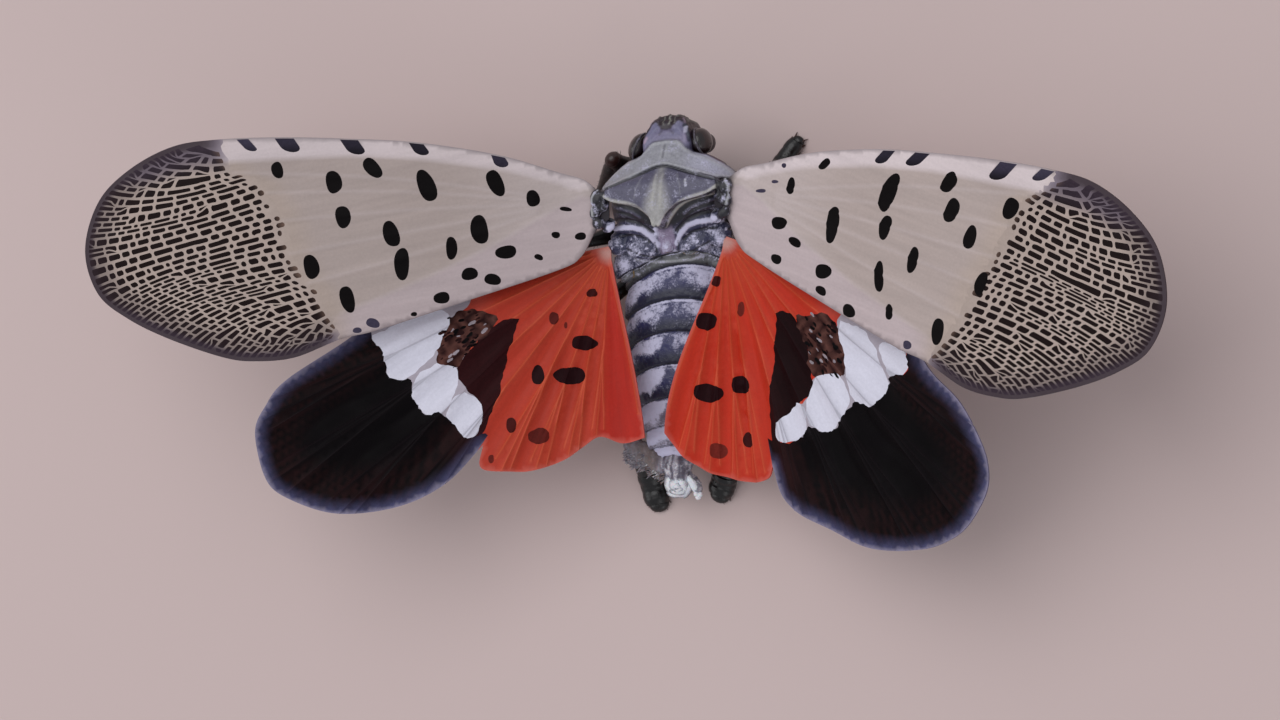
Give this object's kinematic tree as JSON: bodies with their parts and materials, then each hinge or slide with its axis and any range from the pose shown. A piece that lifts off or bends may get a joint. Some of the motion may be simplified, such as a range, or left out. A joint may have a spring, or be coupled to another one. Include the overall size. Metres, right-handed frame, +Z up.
{
  "type": "spotted lanternfly model",
  "caption": "Still life-size model of a spotted lanternfly standing on its feet, its spotted forewings and red, black and white hindwings spread.",
  "frame": {"origin": "on the floor under the middle of the box round the whole model", "axes": "+Y is ahead, +X is the insect's right side, +Z is up"},
  "size_m": [0.0462, 0.0174, 0.0122],
  "materials": {
    "cuticle_grey": "chitin, satin, dusted with wax",
    "cuticle_black": "black chitin, satin",
    "wax_white": "white wax, powdery",
    "abdomen_blue": "blue-black chitin under pale wax",
    "eye_brown": "dark compound eye, glossy",
    "antenna_orange": "orange bulb, pitted",
    "forewing_grey": "leathery membrane with black spots and a netted tip",
    "hindwing_red": "red membrane with black spots, white patches and a black end"
  },
  "bodies": {
    "root": {"head": "cuticle_grey", "eye_left": "eye_brown", "eye_right": "eye_brown", "antenna_left": "antenna_orange", "antenna_right": "antenna_orange", "beak": "cuticle_black", "pronotum": "cuticle_grey", "thorax": "cuticle_grey", "abdomen": "abdomen_blue", "tail_tuft": "wax_white", "forewing_left": "forewing_grey", "forewing_right": "forewing_grey", "hindwing_left": "hindwing_red", "hindwing_right": "hindwing_red", "fore_leg_left_coxa": "cuticle_black", "fore_leg_left_femur": "cuticle_black", "fore_leg_left_tibia": "cuticle_black", "fore_leg_left_tarsus": "cuticle_black", "fore_leg_right_coxa": "cuticle_black", "fore_leg_right_femur": "cuticle_black", "fore_leg_right_tibia": "cuticle_black", "fore_leg_right_tarsus": "cuticle_black", "mid_leg_left_coxa": "cuticle_black", "mid_leg_left_femur": "cuticle_black", "mid_leg_left_tibia": "cuticle_black", "mid_leg_left_tarsus": "cuticle_black", "mid_leg_right_coxa": "cuticle_black", "mid_leg_right_femur": "cuticle_black", "mid_leg_right_tibia": "cuticle_black", "mid_leg_right_tarsus": "cuticle_black", "hind_leg_left_coxa": "cuticle_black", "hind_leg_left_femur": "cuticle_black", "hind_leg_left_tibia": "cuticle_black", "hind_leg_left_tarsus": "cuticle_black", "hind_leg_right_coxa": "cuticle_black", "hind_leg_right_femur": "cuticle_black", "hind_leg_right_tibia": "cuticle_black", "hind_leg_right_tarsus": "cuticle_black"}
  },
  "joints": []
}
